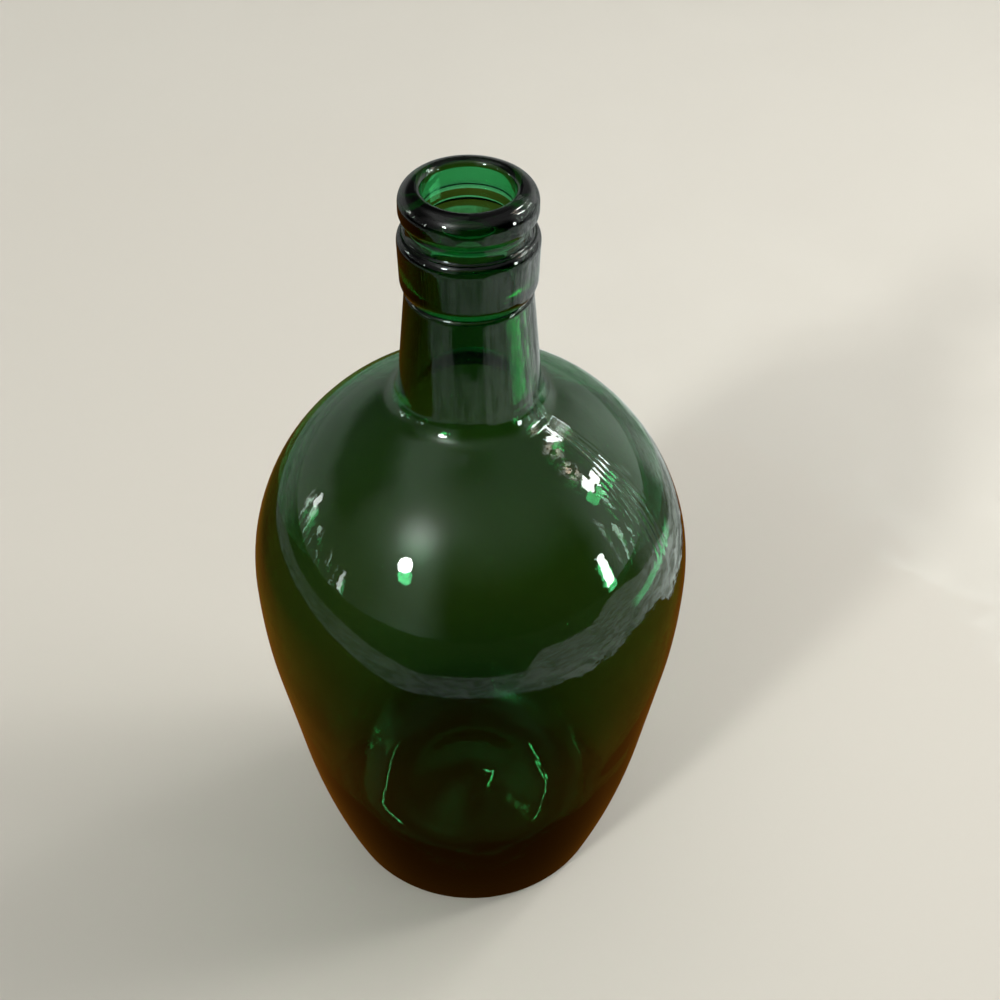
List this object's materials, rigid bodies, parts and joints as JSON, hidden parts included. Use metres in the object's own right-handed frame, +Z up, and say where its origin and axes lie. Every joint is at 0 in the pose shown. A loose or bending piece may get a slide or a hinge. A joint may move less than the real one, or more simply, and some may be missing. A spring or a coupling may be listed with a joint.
{
  "type": "glass carboy",
  "caption": "Tapering round bottle of deep green glass with a domed shoulder, short neck, collar band and rounded open lip.",
  "frame": {"origin": "middle of the ring that the bottle stands on, at the level of the table", "axes": "+Z up along the axis of the bottle, out of its mouth; the bottle is round, so +X and +Y are any two directions square to it"},
  "size_m": [0.187, 0.187, 0.36],
  "materials": {
    "green_glass": "fire-polished, deep green, clear"
  },
  "bodies": {
    "root": {"blown_body": "green_glass", "laid_on_finish": "green_glass"}
  },
  "joints": []
}
